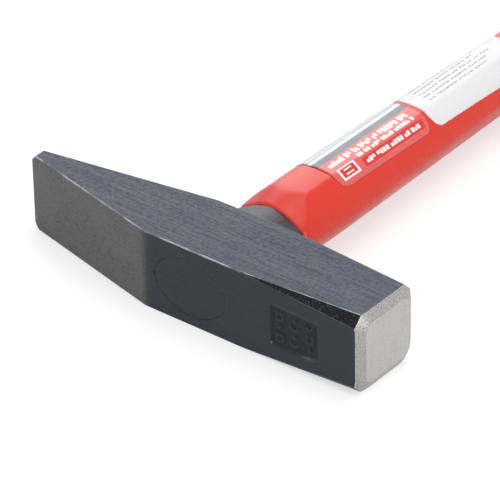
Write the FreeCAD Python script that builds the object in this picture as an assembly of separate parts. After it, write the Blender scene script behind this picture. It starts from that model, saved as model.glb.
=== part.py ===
import FreeCAD, Part

"""Cross-peen engineer's hammer on a moulded glass-fibre handle.

Frame: +X to the striking face, +Y along the handle to its butt, +Z up as the hammer lies on one cheek.
The origin is on the lower cheek, under the crossing of the eye's axis and the head's axis. Every piece is
modelled about the head's axis and lifted by half the head's width when it is written.
All lengths are in millimetres and all angles in degrees.
"""

import math
import os
from dataclasses import dataclass

from FreeCAD import Placement, Rotation, Vector

# Head: a square forging with a wedge peen
HEAD_LENGTH = 96.8
HEAD_WIDTH = 19.0
FACE_FROM_EYE = 44.7
PEEN_TOP_START = 12.6
PEEN_UNDER_START = 7.3
PEEN_TIP_THICKNESS = 2.34
PEEN_TIP_OFFSET = 0.92
NOSE_RADIUS = 0.9
NOSE_CORNER = 1.8
CORNER_CHAMFER_START = 12.7
CORNER_CHAMFER = 2.35

# Striking face and the ground bevel round it
FACE_HALF = 7.3
FACE_CORNER_RADIUS = 2.2
FACE_BEVEL_ANGLE = 29.0
FACE_BEVEL_RUN = 4.0

# Sunk stamp field on the top side
STAMP_FROM_FACE = 17.1
STAMP_LENGTH = 12.2
STAMP_HEIGHT = 9.4
STAMP_RAISE = -0.4
STAMP_DEPTH = 0.4
STAMP_CORNER_RADIUS = 0.6

# Eye: an oval of four arcs, drawn at its waist on the head's axis and spreading to both mouths
EYE_HALF_LENGTH = 8.6
EYE_HALF_WIDTH = 6.0
EYE_END_RADIUS = 3.9
EYE_TOP_SPREAD = 1.1
EYE_UNDER_SPREAD = 0.7
PLUG_THICKNESS = 2.0
PLUG_RIM = 0.12
POTTING_THICKNESS = 0.5

# Handle, measured along Y from the head's axis
OVERALL_LENGTH = 280.0
COLLAR_LENGTH = 8.5
COLLAR_FLARE = 1.6
COLLAR_STEPS = 3
NECK_HALF_THICKNESS = 6.5
NECK_HALF_WIDTH = 9.5
NECK_RISE_ANGLE = 14.0
NECK_LENGTH = 16.0
STEM_HALF_THICKNESS = 7.85
STEM_HALF_WIDTH = 9.75
WAIST_HALF_WIDTH = 8.0
WAIST_TO_GRIP = 21.0
GRIP_LENGTH = 124.0
GRIP_TO_BUTT = 20.5
GRIP_START_HALF_THICKNESS = 8.4
GRIP_START_HALF_WIDTH = 9.9
PALM_HALF_WIDTH = 13.2
HEEL_HALF_WIDTH = 12.4
HEEL_RELIEF = 0.3
BUTT_HALF_WIDTH = 14.0
BUTT_RELIEF = 0.1
BUTT_ROUNDING = 4.0
BUTT_STEPS = 3
BOW_SHARE = 0.75
FAIR_STEPS = 3

# Shell, its lip over the collar, and what lies in it
SHELL_LIP = 0.35
SHELL_WALL = 2.0
GRIP_WALL = 2.2
ROD_RADIUS = 3.5
TAIL_SOLID = 22.0
ROD_END_COVER = 6.0
HANG_HOLE_RADIUS = 3.5
HANG_HOLE_FROM_BUTT = 10.5

# Slots across the upper and lower crowns of the grip
GRIP_SLOTS = 11
GRIP_SLOT_PITCH = 8.0
GRIP_SLOT_WIDTH = 1.6
GRIP_SLOT_DEPTH = 0.6

# Labels over the upper facets
LABEL_THICKNESS = 0.12
LABEL_HALF_WIDTH = 7.15
LABEL_CORNER_RADIUS = 2.5
FRONT_LABEL_FROM_SHELL = 16.0
FRONT_LABEL_LENGTH = 32.6
LABEL_GAP = 1.0
REAR_LABEL_LENGTH = 36.0

# Places worked out from the sizes above
HALF_HEAD = HEAD_WIDTH / 2
FACE_X = FACE_FROM_EYE
PEEN_X = FACE_X - HEAD_LENGTH
TOP_Y = -HALF_HEAD
UNDER_Y = HALF_HEAD
BUTT_Y = TOP_Y + OVERALL_LENGTH
SHELL_Y = UNDER_Y + COLLAR_LENGTH
GRIP_END = BUTT_Y - GRIP_TO_BUTT
GRIP_START = GRIP_END - GRIP_LENGTH
WAIST_FROM_HEAD = GRIP_START - WAIST_TO_GRIP
TENON_Y = TOP_Y + PLUG_THICKNESS
CORE_END = BUTT_Y - TAIL_SOLID
BUTT_SECTION = (HALF_HEAD - BUTT_RELIEF, BUTT_HALF_WIDTH)
REACH = 2 * max(HEAD_LENGTH, HEAD_WIDTH)


@dataclass(frozen=True)
class Facets:
    """Where an outline's shoulders and flanks lie: the shoulders by its half-thickness alone, so that the crown
    keeps its form as the handle narrows, and the flanks by its half-width and half-thickness.
    """

    shoulder: tuple
    flank: tuple


STEM_FACETS = Facets(shoulder=(0.755, 0.905), flank=(0.86, 0.47))
NECK_FACETS = Facets(shoulder=(0.675, 0.855), flank=(0.87, 0.52))


def bowed(reach, base, half_span):
    """Corner height and radius of a bow that stands on base, spans both sides and just comes up to reach."""
    slope = (reach - base) / (half_span * (1 - BOW_SHARE / 2))
    return base + half_span * math.tan(slope), BOW_SHARE * half_span / math.sin(slope)


@dataclass(frozen=True)
class Station:
    """The handle's outline at one place along it: bowed crowns and sides with straight slopes between them."""

    along: float
    half_thickness: float
    half_width: float
    facets: Facets = STEM_FACETS

    def corners(self, inset):
        """Rounded corners (x, z, radius) clockwise from the crown of the outline drawn in by inset."""
        half_width, half_thickness = self.half_width - inset, self.half_thickness - inset
        shoulder_x, shoulder_z = (half_thickness * share for share in self.facets.shoulder)
        flank_x, flank_z = half_width * self.facets.flank[0], half_thickness * self.facets.flank[1]
        crown, crown_radius = bowed(half_thickness, shoulder_z, shoulder_x)
        side, side_radius = bowed(half_width, flank_x, flank_z)
        right = [(shoulder_x, shoulder_z, 0.0), (flank_x, flank_z, 0.0), (side, 0.0, side_radius)]
        lower = [(x, -z, radius) for x, z, radius in right[1::-1]]
        left = [(-x, -z, radius) for x, z, radius in right + lower]
        return [(0.0, crown, crown_radius), *right, *lower, (0.0, -crown, crown_radius), *left]

    def wire(self, inset=0.0):
        """The outline as a closed wire across the handle."""
        return rounded_outline(self.corners(inset), lambda x, z: Vector(x, self.along, z))

    def inner_wire(self, inset):
        """The outline drawn in by inset for what lies inside, with flat crowns and sides."""
        corners = [(x, z, 0.0) for x, z, radius in self.corners(inset) if radius == 0]
        return rounded_outline(corners, lambda x, z: Vector(x, self.along, z))


def rounded_outline(corners, place):
    """Closed wire of straight runs joined by tangent arcs; a corner is (u, v, radius) and may be sharp."""
    edges = []
    joints = []
    for index, (u, v, radius) in enumerate(corners):
        corner = Vector(u, v, 0)
        before = Vector(*corners[index - 1][:2], 0).sub(corner).normalize()
        after = Vector(*corners[(index + 1) % len(corners)][:2], 0).sub(corner).normalize()
        half_turn = (math.pi - before.getAngle(after)) / 2
        run = radius * math.tan(half_turn)
        start, end = corner + before * run, corner + after * run
        if radius > 0:
            inward = (before + after).normalize()
            middle = corner + inward * (radius / math.cos(half_turn) - radius)
            edges.append(Part.Arc(place(*start[:2]), place(*middle[:2]), place(*end[:2])).toShape())
        joints.append((start, end))
    straights = []
    for index, (_, end) in enumerate(joints):
        start = joints[(index + 1) % len(joints)][0]
        straights.append(Part.makeLine(place(*end[:2]), place(*start[:2])))
    return Part.Wire(Part.__sortEdges__(edges + straights))


def half_space(point, outward):
    """A block that fills the outward side of the plane through point."""
    block = Part.makeBox(2 * REACH, 2 * REACH, REACH, Vector(-REACH, -REACH, 0))
    block.Placement = Placement(point, Rotation(Vector(0, 0, 1), outward))
    return block


def plan_prism(corners, low, high):
    """Upright prism between two heights, from a rounded outline (x, y, radius) seen from above."""
    face = Part.Face(rounded_outline(corners, lambda x, y: Vector(x, y, low)))
    return face.extrude(Vector(0, 0, high - low))


def rounded_rectangle(centre, length, height, radius):
    """Rounded corners of a rectangle about centre."""
    u, v = centre
    signs = ((-1, -1), (-1, 1), (1, 1), (1, -1))
    return [(u + a * length / 2, v + b * height / 2, radius) for a, b in signs]


def slab(start, end):
    """Everything between two places along the handle."""
    return Part.makeBox(2 * REACH, end - start, 2 * REACH, Vector(-REACH, start, -REACH))


def oval_arcs():
    """Arcs of the eye's waist as (centre x, centre z, radius, first angle, sweep), angles from +Z towards +X."""
    length, width, end = EYE_HALF_LENGTH, EYE_HALF_WIDTH, EYE_END_RADIUS
    side = (length**2 + width**2 - 2 * length * end) / (2 * (width - end))
    half_sweep = math.degrees(math.atan2(length - end, side - width))
    arcs = []
    for sign in (1, -1):
        arcs.append((0, sign * (width - side), side, 90 - sign * 90 - half_sweep, 2 * half_sweep))
        arcs.append((sign * (length - end), 0, end, sign * 90 - 90 + half_sweep, 180 - 2 * half_sweep))
    return arcs


def tapered_oval(start, end, start_grown, end_grown):
    """Oval solid between two places, its waist outline grown out by one amount at either end."""
    sectors = []
    for centre_x, centre_z, radius, first, sweep in oval_arcs():
        out = Vector(math.sin(math.radians(first)), 0, math.cos(math.radians(first)))
        middles = [Vector(centre_x, along, centre_z) for along in (start, end)]
        rims = [middles[0] + out * (radius + start_grown), middles[1] + out * (radius + end_grown)]
        profile = Part.makePolygon([middles[0], rims[0], rims[1], middles[1], middles[0]])
        sectors.append(Part.Face(profile).revolve(middles[0], Vector(0, 1, 0), sweep))
    return sectors[0].fuse(sectors[1:]).removeSplitter()


def eye_space():
    """The two tapers of the eye, from its waist to its mouths."""
    upper = tapered_oval(TOP_Y, 0, EYE_TOP_SPREAD, 0)
    return upper.fuse(tapered_oval(0, UNDER_Y, 0, EYE_UNDER_SPREAD))


def head_blank():
    """The forging's side profile, carried across its width, with the corners of its nose cut."""
    tip_top = PEEN_TIP_OFFSET - PEEN_TIP_THICKNESS / 2
    tip_under = PEEN_TIP_OFFSET + PEEN_TIP_THICKNESS / 2
    profile = [
        (FACE_X, TOP_Y, 0),
        (FACE_X, UNDER_Y, 0),
        (-PEEN_UNDER_START, UNDER_Y, 0),
        (PEEN_X, tip_under, NOSE_RADIUS),
        (PEEN_X, tip_top, NOSE_RADIUS),
        (-PEEN_TOP_START, TOP_Y, 0),
    ]
    blank = plan_prism(profile, -HALF_HEAD, HALF_HEAD)
    for side in (-1, 1):
        start = Vector(PEEN_X + NOSE_CORNER, 0, side * HALF_HEAD)
        blank = blank.cut(half_space(start, Vector(-1, 0, side)))
    return blank


def corner_chamfers(blank):
    """Four long chamfers that widen from nothing to their full width at the striking face."""
    run = FACE_X - CORNER_CHAMFER_START
    for side in (-1, 1):
        for cheek in (-1, 1):
            start = Vector(CORNER_CHAMFER_START, side * HALF_HEAD, cheek * HALF_HEAD)
            on_side = Vector(run, 0, -cheek * CORNER_CHAMFER)
            on_cheek = Vector(run, -side * CORNER_CHAMFER, 0)
            outward = on_cheek.cross(on_side) * (side * cheek)
            blank = blank.cut(half_space(start, outward))
    return blank


def face_bevel():
    """Ground bevel: a rounded square that widens away from the striking face."""
    spread = FACE_BEVEL_RUN / math.tan(math.radians(FACE_BEVEL_ANGLE))
    sections = []
    for back, grown in ((0.0, 0.0), (FACE_BEVEL_RUN, spread), (REACH, spread)):
        corners = rounded_rectangle((0, 0), 2 * (FACE_HALF + grown), 2 * (FACE_HALF + grown), FACE_CORNER_RADIUS)
        sections.append(rounded_outline(corners, lambda y, z, at=FACE_X - back: Vector(at, y, z)))
    return Part.makeLoft(sections, True, True)


def stamp_pocket():
    """Cutter for the sunk field, open on the head's top side."""
    centre = (FACE_X - STAMP_FROM_FACE, STAMP_RAISE)
    corners = rounded_rectangle(centre, STAMP_LENGTH, STAMP_HEIGHT, STAMP_CORNER_RADIUS)
    face = Part.Face(rounded_outline(corners, lambda x, z: Vector(x, TOP_Y + STAMP_DEPTH, z)))
    return face.extrude(Vector(0, -2 * STAMP_DEPTH, 0))


def make_head():
    """Forged head with its wedge peen, chamfers, ground face, stamp field and eye."""
    body = corner_chamfers(head_blank())
    body = body.common(face_bevel())
    return body.cut(stamp_pocket()).cut(eye_space())


def make_eye_plug():
    """Filler cast flush in the top mouth of the eye, with a fine groove round its rim."""
    plug = eye_space().common(slab(TOP_Y, TENON_Y))
    rim = [edge for edge in plug.Edges if abs(edge.BoundBox.YMax - TOP_Y) < PLUG_RIM]
    return plug.makeChamfer(PLUG_RIM, rim)


def tenon():
    """The part of the carrier that stands in the eye."""
    return tapered_oval(TENON_Y, UNDER_Y, -POTTING_THICKNESS, -POTTING_THICKNESS)


def make_eye_potting():
    """Resin between the tenon and the wall of the eye."""
    return eye_space().common(slab(TENON_Y, UNDER_Y)).cut(tenon())


def key_stations():
    """Outlines that shape the whole handle, from under its neck to its butt."""
    palm = GRIP_START + 0.5 * GRIP_LENGTH
    heel = GRIP_START + 0.8 * GRIP_LENGTH
    return [
        Station(SHELL_Y, STEM_HALF_THICKNESS, STEM_HALF_WIDTH),
        Station(SHELL_Y + NECK_LENGTH, STEM_HALF_THICKNESS, STEM_HALF_WIDTH),
        Station(WAIST_FROM_HEAD, STEM_HALF_THICKNESS, WAIST_HALF_WIDTH),
        Station(GRIP_START, GRIP_START_HALF_THICKNESS, GRIP_START_HALF_WIDTH),
        Station(palm, HALF_HEAD, PALM_HALF_WIDTH),
        Station(heel, HALF_HEAD - HEEL_RELIEF, HEEL_HALF_WIDTH),
        Station(GRIP_END, *BUTT_SECTION),
        Station(BUTT_Y, *BUTT_SECTION),
    ]


def eased(before, after, share):
    """The outline at a share of the way between two others, on a curve that levels out at both."""
    ease = (1 - math.cos(math.pi * share)) / 2
    return Station(
        before.along + share * (after.along - before.along),
        before.half_thickness + ease * (after.half_thickness - before.half_thickness),
        before.half_width + ease * (after.half_width - before.half_width),
    )


def station_at(along):
    """The eased outline at one place along the handle."""
    keys = key_stations()
    before, after = next(pair for pair in zip(keys, keys[1:]) if along <= pair[1].along)
    return eased(before, after, (along - before.along) / (after.along - before.along))


def fair_stations():
    """The key outlines with eased ones between those of the waist and the grip."""
    keys = key_stations()
    stations = keys[:1]
    for before, after in zip(keys, keys[1:]):
        steps = FAIR_STEPS if WAIST_FROM_HEAD <= before.along < GRIP_END else 1
        stations.extend(eased(before, after, (step + 1) / steps) for step in range(steps))
    return stations


def handle_form(skin=0.0):
    """The outside of the handle without its neck and butt rounding, its surface moved out by skin."""
    return Part.makeLoft([station.wire(-skin) for station in fair_stations()], True, True)


def bed_form():
    """What the grip sleeve is moulded on."""
    return Part.makeLoft([station.inner_wire(GRIP_WALL) for station in key_stations()], True, True)


def neck_form(inset=0.0, draw=Station.wire):
    """The neck's widening form, which cuts crescents where it meets the handle's facets."""
    neck = Station(SHELL_Y, NECK_HALF_THICKNESS, NECK_HALF_WIDTH, NECK_FACETS)
    end = Station(SHELL_Y + NECK_LENGTH, NECK_HALF_THICKNESS, NECK_HALF_WIDTH, NECK_FACETS)
    rise = NECK_LENGTH * math.tan(math.radians(NECK_RISE_ANGLE))
    return Part.makeLoft([draw(neck, inset), draw(end, inset - rise)], True, True)


def with_neck(form, neck):
    """A handle form with its first stretch drawn in to the neck."""
    return form.common(neck).fuse(form.common(slab(SHELL_Y + NECK_LENGTH, BUTT_Y)))


def butt_form():
    """Rounded end: the butt's outline drawn in along a quarter circle."""
    sections = []
    for step in range(BUTT_STEPS + 1):
        angle = math.radians(90 * step / BUTT_STEPS)
        along = BUTT_Y - BUTT_ROUNDING * (1 - math.sin(angle))
        inset = BUTT_ROUNDING * (1 - math.cos(angle))
        sections.append(Station(along, *BUTT_SECTION).wire(inset))
    return Part.makeLoft(sections, True, True)


def core_form():
    """The carrier's length inside the shell: a wall's depth in from the stem and from the bed of the grip."""
    sections = []
    for station in key_stations():
        bed = GRIP_WALL if station.along >= GRIP_START else 0.0
        sections.append(station.inner_wire(SHELL_WALL + bed))
    core = with_neck(Part.makeLoft(sections, True, True), neck_form(SHELL_WALL, Station.inner_wire))
    return core.common(slab(SHELL_Y, CORE_END))


def collar():
    """Collar between the head and the shell, which flares to cover the under mouth of the eye."""
    sections = []
    for step in range(COLLAR_STEPS + 1):
        share = step / COLLAR_STEPS
        station = Station(UNDER_Y + share * COLLAR_LENGTH, NECK_HALF_THICKNESS, NECK_HALF_WIDTH, NECK_FACETS)
        sections.append(station.wire(SHELL_LIP - COLLAR_FLARE * math.sqrt(1 - share)))
    return Part.makeLoft(sections, True, True)


def make_core_rod():
    """Round glass-fibre rod from the end of the tenon to near the end of the core."""
    return Part.makeCylinder(ROD_RADIUS, CORE_END - ROD_END_COVER - TENON_Y, Vector(0, TENON_Y, 0), Vector(0, 1, 0))


def make_carrier():
    """Inner moulding: tenon in the eye, flared collar, and the core that the shell is moulded on."""
    return tenon().fuse([collar(), core_form()]).removeSplitter().cut(make_core_rod())


def make_shell():
    """Red outer moulding: faceted stem, the bed of the grip, and the solid butt with its hang hole."""
    form = handle_form()
    stem = with_neck(form, neck_form()).common(slab(SHELL_Y, GRIP_START))
    bed = bed_form().common(slab(GRIP_START, GRIP_END))
    tail = form.common(slab(GRIP_END, BUTT_Y - BUTT_ROUNDING)).fuse(butt_form())
    hole_at = Vector(0, BUTT_Y - HANG_HOLE_FROM_BUTT, -REACH)
    hole = Part.makeCylinder(HANG_HOLE_RADIUS, 2 * REACH, hole_at)
    return stem.fuse([bed, tail]).cut(core_form()).cut(hole)


def make_grip():
    """Soft sleeve on the bed of the shell, flush at both ends, with shallow slots across its crowns."""
    sleeve = handle_form().common(slab(GRIP_START, GRIP_END)).cut(bed_form())
    first = GRIP_START + (GRIP_LENGTH - (GRIP_SLOTS - 1) * GRIP_SLOT_PITCH) / 2
    for index in range(GRIP_SLOTS):
        station = station_at(first + index * GRIP_SLOT_PITCH)
        start = station.along - GRIP_SLOT_WIDTH / 2
        floor = station.half_thickness - GRIP_SLOT_DEPTH
        for low in (floor, -floor - REACH):
            slot = Part.makeBox(2 * REACH, GRIP_SLOT_WIDTH, REACH, Vector(-REACH, start, low))
            sleeve = sleeve.cut(slot)
    return sleeve


def make_label(start, end):
    """Thin label over the crown, the shoulders and the upper part of the slopes, with rounded corners."""
    skin = handle_form(LABEL_THICKNESS).cut(handle_form())
    centre = (0, (start + end) / 2)
    corners = rounded_rectangle(centre, 2 * LABEL_HALF_WIDTH, end - start, LABEL_CORNER_RADIUS)
    return skin.common(plan_prism(corners, 0, REACH))


def make_front_label():
    """Glossy label nearest the head."""
    start = SHELL_Y + FRONT_LABEL_FROM_SHELL
    return make_label(start, start + FRONT_LABEL_LENGTH)


def make_rear_label():
    """White paper label behind the glossy one."""
    start = SHELL_Y + FRONT_LABEL_FROM_SHELL + FRONT_LABEL_LENGTH + LABEL_GAP
    return make_label(start, start + REAR_LABEL_LENGTH)


PIECES = {
    "head": make_head,
    "eye_plug": make_eye_plug,
    "eye_potting": make_eye_potting,
    "core_rod": make_core_rod,
    "carrier": make_carrier,
    "shell": make_shell,
    "grip": make_grip,
    "front_label": make_front_label,
    "rear_label": make_rear_label,
}


def build():
    """Write each piece to its own file, lifted so that the hammer lies on the ground plane."""
    os.makedirs("parts", exist_ok=True)
    for name, make in PIECES.items():
        piece = make()
        piece.translate(Vector(0, 0, HALF_HEAD))
        piece.exportStep(f"parts/{name}.step")
        print(f"{name}: {len(piece.Solids)} solid, {piece.Volume:.1f} mm3, valid {piece.isValid()}")


build()
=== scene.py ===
"""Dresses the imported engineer's hammer: forged head, collar, faceted handle, labels and grip, in a studio.

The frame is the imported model's: +X to the striking face, +Y along the handle to its butt, +Z up as the
hammer lies on one cheek. Sizes in the classes are millimetres; meshes are written in metres.
"""

import itertools
import logging
import math
from dataclasses import dataclass, field
from enum import Enum, IntEnum
from typing import Callable, Sequence

import bmesh
import bpy
import numpy as np
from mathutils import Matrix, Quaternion, Vector

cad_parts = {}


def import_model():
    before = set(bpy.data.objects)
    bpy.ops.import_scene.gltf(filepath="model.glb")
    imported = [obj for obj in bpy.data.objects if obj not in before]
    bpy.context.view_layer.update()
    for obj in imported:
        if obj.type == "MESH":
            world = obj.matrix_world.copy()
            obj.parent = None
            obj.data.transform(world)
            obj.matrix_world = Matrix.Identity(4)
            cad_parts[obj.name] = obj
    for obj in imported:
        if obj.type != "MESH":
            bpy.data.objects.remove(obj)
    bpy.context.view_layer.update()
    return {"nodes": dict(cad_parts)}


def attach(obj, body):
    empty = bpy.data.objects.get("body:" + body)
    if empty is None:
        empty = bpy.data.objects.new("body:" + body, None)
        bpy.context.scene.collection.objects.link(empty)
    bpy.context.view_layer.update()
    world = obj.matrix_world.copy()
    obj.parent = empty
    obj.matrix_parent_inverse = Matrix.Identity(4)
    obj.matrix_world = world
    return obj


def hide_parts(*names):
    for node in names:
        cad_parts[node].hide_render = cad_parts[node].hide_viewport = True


Array = np.ndarray
Colour = tuple[float, float, float]
Material = bpy.types.Material
Socket = bpy.types.NodeSocket
Piece = bpy.types.Object

LOG = logging.getLogger("hammer")
MM = 0.001
BODY = "root"
SEED = 20
FARTHEST = 40.0
HALVINGS = 32
BLACK: Colour = (0.0, 0.0, 0.0)
WHITE: Colour = (1.0, 1.0, 1.0)


class Grain(Enum):
    """The way that the fine lines of a finish run, as the axis that they are stretched along."""

    LENGTHWISE = (0.02, 1.0, 1.0)
    ACROSS = (1.0, 1.0, 0.02)
    UPRIGHT = (1.0, 0.02, 1.0)
    ROUND = (1.0, 1.0, 1.0)


class StampMark(Enum):
    """The plain shapes that stand in the stamp field."""

    SQUARE = "square"
    DIAMOND = "diamond"
    CHEVRON = "chevron"

    def inside(self, across: Array, up: Array) -> Array:
        """How far points lie inside the shape, in millimetres.

        Args:
            across: places from its middle, along the head.
            up: places from its middle, towards the upper cheek.

        Returns:
            Distances, below zero outside.
        """
        if self is StampMark.SQUARE:
            half, stroke = 0.8, 0.26
            return stroke - np.abs(np.maximum(np.abs(across), np.abs(up)) - half)
        if self is StampMark.DIAMOND:
            half = 0.62
            return half - np.abs(across) - np.abs(up)
        half, stroke, slant = 1.2, 0.3, 0.7
        return np.minimum(half - np.abs(across), stroke - np.abs(up + slant / 2 - slant * np.abs(across)))


class Print(IntEnum):
    """The front label's inks, in the order in which it holds them."""

    # the last ink darkens the label's rim: a painted shadow line
    RED, PALE, SLATE, WHITE, DEEP_RED, EDGE = range(6)


class Shader:
    """A material's node tree, with short calls that add and join its nodes."""

    def __init__(self, name: str) -> None:
        """Starts a material with the name that is given.

        Args:
            name: the material's name.
        """
        self.material = bpy.data.materials.new(name)
        self.material.use_nodes = True
        self.tree = self.material.node_tree
        self.surface = self.tree.nodes["Principled BSDF"]
        self.place = self.tree.nodes.new("ShaderNodeTexCoord").outputs["Object"]

    def put(self, socket: Socket, value: object) -> None:
        """Joins a node's output to a socket, or writes a plain value on it.

        Args:
            socket: the input that takes the value.
            value: an output socket, a number or a colour.
        """
        if isinstance(value, Socket):
            self.tree.links.new(value, socket)
        elif isinstance(value, (tuple, list)) and len(value) == 3 and len(socket.default_value) == 4:
            socket.default_value = (*value, 1.0)
        else:
            socket.default_value = value

    def finish(self, **inputs: object) -> None:
        """Sets sockets of the surface, named with underscores for spaces."""
        for name, value in inputs.items():
            self.put(self.surface.inputs[name.replace("_", " ")], value)

    def math(self, operation: str, first: object, second: object) -> Socket:
        """Adds a Math node.

        Args:
            operation: the node's operation.
            first: its first value or socket.
            second: its second value or socket.

        Returns:
            The node's output.
        """
        node = self.tree.nodes.new("ShaderNodeMath")
        node.operation = operation
        self.put(node.inputs[0], first)
        self.put(node.inputs[1], second)
        return node.outputs[0]

    def plus(self, first: object, second: object) -> Socket:
        """The sum of two values."""
        return self.math("ADD", first, second)

    def times(self, first: object, second: object) -> Socket:
        """The product of two values."""
        return self.math("MULTIPLY", first, second)

    def span(
        self, value: Socket, to_low: float, to_high: float, low: float = 0.3, high: float = 0.7
    ) -> Socket:
        """Maps a value from one range to another and holds it at the ends.

        Args:
            value: the socket to map.
            to_low: the result at low.
            to_high: the result at high.
            low: the value that becomes to_low, by default where noise is low.
            high: the value that becomes to_high, by default where noise is high.

        Returns:
            The mapped value.
        """
        node = self.tree.nodes.new("ShaderNodeMapRange")
        node.interpolation_type = "SMOOTHSTEP"
        for socket, number in zip(node.inputs, (value, low, high, to_low, to_high)):
            self.put(socket, number)
        return node.outputs[0]

    def noise(self, size_mm: float, grain: Grain = Grain.ROUND, detail: float = 3.0) -> Socket:
        """Adds noise fixed to the object.

        Args:
            size_mm: the size of its grains.
            grain: the way that they are stretched.
            detail: how many finer layers it has.

        Returns:
            The noise, from 0 to 1.
        """
        stretch = self.tree.nodes.new("ShaderNodeMapping")
        stretch.inputs["Scale"].default_value = grain.value
        self.put(stretch.inputs["Vector"], self.place)
        node = self.tree.nodes.new("ShaderNodeTexNoise")
        node.inputs["Scale"].default_value = 1.0 / (size_mm * MM)
        node.inputs["Detail"].default_value = detail
        self.put(node.inputs["Vector"], stretch.outputs[0])
        return node.outputs[0]

    def blend(self, share: object, first: object, second: object) -> Socket:
        """Mixes two colours.

        Args:
            share: how much of the second colour shows.
            first: the colour at 0.
            second: the colour at 1.

        Returns:
            The mixed colour.
        """
        node = self.tree.nodes.new("ShaderNodeMix")
        node.data_type = "RGBA"
        for name, value in (("Factor_Float", share), ("A_Color", first), ("B_Color", second)):
            self.put(next(socket for socket in node.inputs if socket.identifier == name), value)
        return node.outputs[2]

    def shade(self, share: object, colour: object) -> Socket:
        """A colour, darkened by a share where 1 leaves it whole."""
        return self.blend(share, BLACK, colour)

    def relief(self, height: object, depth_mm: float, strength: float) -> Socket:
        """Turns a height from 0 to 1 into a normal.

        Args:
            height: the height's socket.
            depth_mm: the height's full depth.
            strength: the share of it that shows.

        Returns:
            The normal.
        """
        node = self.tree.nodes.new("ShaderNodeBump")
        node.inputs["Strength"].default_value = strength
        node.inputs["Distance"].default_value = depth_mm * MM
        self.put(node.inputs["Height"], height)
        return node.outputs[0]

    def mark(self, name: str) -> Socket:
        """Reads a number that a mesh carries at its points.

        Args:
            name: the mesh attribute's name.

        Returns:
            The number, or 0 where the mesh has none.
        """
        node = self.tree.nodes.new("ShaderNodeAttribute")
        node.attribute_name = name
        return node.outputs["Fac"]


def seen_share(tree: bpy.types.NodeTree) -> Socket:
    """Tells rays that show a background, straight or in metal and glass, from those that light the object.

    Args:
        tree: the node tree that asks.

    Returns:
        1 for camera, glossy and transmission rays, 0 for the rest.
    """
    path = tree.nodes.new("ShaderNodeLightPath")
    share = path.outputs["Is Camera Ray"]
    for name in ("Is Glossy Ray", "Is Transmission Ray"):
        larger = tree.nodes.new("ShaderNodeMath")
        larger.operation = "MAXIMUM"
        tree.links.new(share, larger.inputs[0])
        tree.links.new(path.outputs[name], larger.inputs[1])
        share = larger.outputs[0]
    return share


@dataclass(frozen=True)
class VarnishedSteel:
    """Dark satin varnish over the forged head, thin on its edges and rough on its trimmed corners."""

    name: str = "head_varnish"
    colour: Colour = (0.018, 0.021, 0.032)
    # reflection tints: bluer on the cheeks than on the top and handle sides, a painted reflection colour
    cheek_sheen: Colour = (0.64, 0.7, 1.0)
    side_sheen: Colour = (0.84, 0.88, 1.0)
    thin: Colour = (0.145, 0.14, 0.144)
    # bare steel for worn chips; also the colour of the painted glints and highlights
    worn: Colour = (0.42, 0.4, 0.38)
    scale_and_shade_colour: Colour = (0.006, 0.006, 0.007)
    gloss: float = 0.4

    def material(self) -> Material:
        """Builds the varnish, which reads the marks "wear", "scaled", "thin" and "cheek" from the mesh.

        Returns:
            The material.
        """
        shader = Shader(self.name)
        streaks = shader.noise(0.3, Grain.LENGTHWISE, 5.0)
        clouds = shader.noise(9.0, detail=4.0)
        grit = shader.noise(0.4, detail=5.0)
        pits = shader.noise(0.8, detail=6.0)
        scale_and_shade, thin = shader.mark("scale_and_shade"), shader.mark("thin")
        tone = shader.plus(shader.span(streaks, 0.4, 1.4, 0.33, 0.67), shader.span(clouds, -0.15, 0.15))
        tone = shader.plus(tone, shader.span(pits, -0.24, 0.24))
        base = shader.shade(tone, shader.blend(thin, self.colour, self.thin))
        # darker where the mesh's mark is high: forging scale on the trimmed corners, painted shade on the
        # sunk stamp field's floor
        base = shader.blend(scale_and_shade, base, self.scale_and_shade_colour)
        trimmed = shader.span(scale_and_shade, 0.0, 1.0, 0.6, 1.0)
        # painted glints: light specks mixed into the trimmed corners' colour
        glints = shader.times(trimmed, shader.span(grit, 0.0, 0.13, 0.5, 0.68))
        base = shader.blend(glints, base, self.worn)
        # bare steel where the edges are worn, and painted highlight on the stamp field's lower wall and
        # along the upper trimmed corner's edge
        chips_and_highlight = shader.times(shader.mark("wear_and_highlight"), shader.span(clouds, 0.25, 1.0, 0.38, 0.6))
        # painted reflection colour: the reflection is tinted bluer on the cheeks
        sheen = shader.blend(shader.mark("cheek"), self.side_sheen, self.cheek_sheen)
        height = shader.plus(shader.times(streaks, 0.3), shader.times(pits, 0.3))
        height = shader.plus(height, shader.times(grit, scale_and_shade))
        shader.finish(Specular_Tint=self.cheek_sheen, Specular_IOR_Level=self.gloss)
        shader.finish(
            Base_Color=shader.blend(chips_and_highlight, base, self.worn),
            Metallic=shader.times(chips_and_highlight, 0.8),
            Roughness=shader.plus(shader.span(streaks, 0.33, 0.53), shader.span(pits, -0.06, 0.08)),
            Specular_Tint=shader.blend(thin, sheen, WHITE),
            Specular_IOR_Level=shader.span(scale_and_shade, self.gloss, 0.5 * self.gloss, 0.0, 1.0),
            Normal=shader.relief(height, 0.2, 0.8),
        )
        return shader.material


@dataclass(frozen=True)
class GroundSteel:
    """Bright ground steel with fine straight lines."""

    name: str
    grain: Grain
    colour: Colour = (0.49, 0.485, 0.475)
    line_mm: float = 0.12
    depth: float = 0.14

    def material(self) -> Material:
        """Builds the ground steel.

        Returns:
            The material.
        """
        shader = Shader(self.name)
        lines = shader.noise(self.line_mm, self.grain, 4.0)
        specks = shader.noise(0.35, detail=5.0)
        tone = shader.span(lines, 0.96 - self.depth, 0.96 + self.depth)
        shader.finish(
            Base_Color=shader.shade(shader.plus(tone, shader.span(specks, -0.11, 0.1)), self.colour),
            Metallic=0.85,
            Roughness=shader.span(lines, 0.36, 0.55, 0.25, 0.75),
            Normal=shader.relief(lines, 0.03, 0.7),
        )
        return shader.material


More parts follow.
